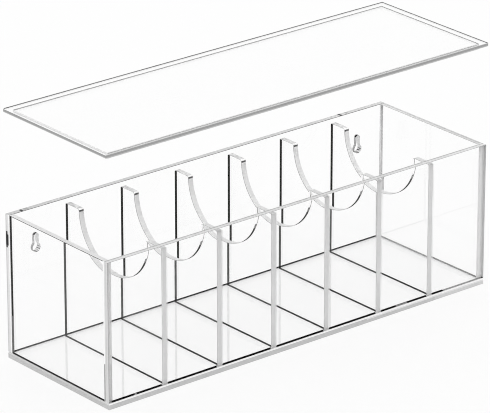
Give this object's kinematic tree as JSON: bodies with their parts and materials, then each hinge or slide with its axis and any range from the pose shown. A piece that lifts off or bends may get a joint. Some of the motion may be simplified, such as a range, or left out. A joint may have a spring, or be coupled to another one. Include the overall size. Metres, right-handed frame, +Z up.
{
  "type": "belt organizer box",
  "caption": "Clear acrylic box with upright scooped dividers for rolled belts, keyhole hangers in its back wall, and a two-plate lift-off lid.",
  "frame": {"origin": "centre of the box's footprint, on the surface that it stands on", "axes": "+X along the length, +Y from the front wall to the back wall, +Z up"},
  "size_m": [0.4, 0.133, 0.216],
  "materials": {
    "clear_acrylic": "polished clear acrylic sheet"
  },
  "bodies": {
    "box": {"base_panel": "clear_acrylic", "front_panel": "clear_acrylic", "back_panel": "clear_acrylic", "left_end_panel": "clear_acrylic", "right_end_panel": "clear_acrylic", "divider_1": "clear_acrylic", "divider_2": "clear_acrylic", "divider_3": "clear_acrylic", "divider_4": "clear_acrylic", "divider_5": "clear_acrylic", "divider_6": "clear_acrylic"},
    "lid": {"lid_plate": "clear_acrylic", "lid_locating_plate": "clear_acrylic"}
  },
  "joints": [
    {"name": "lid_lift", "type": "slide", "parent": "box", "child": "lid", "axis": [0, 0, 1], "range_m": [-0.0869, 0]}
  ]
}
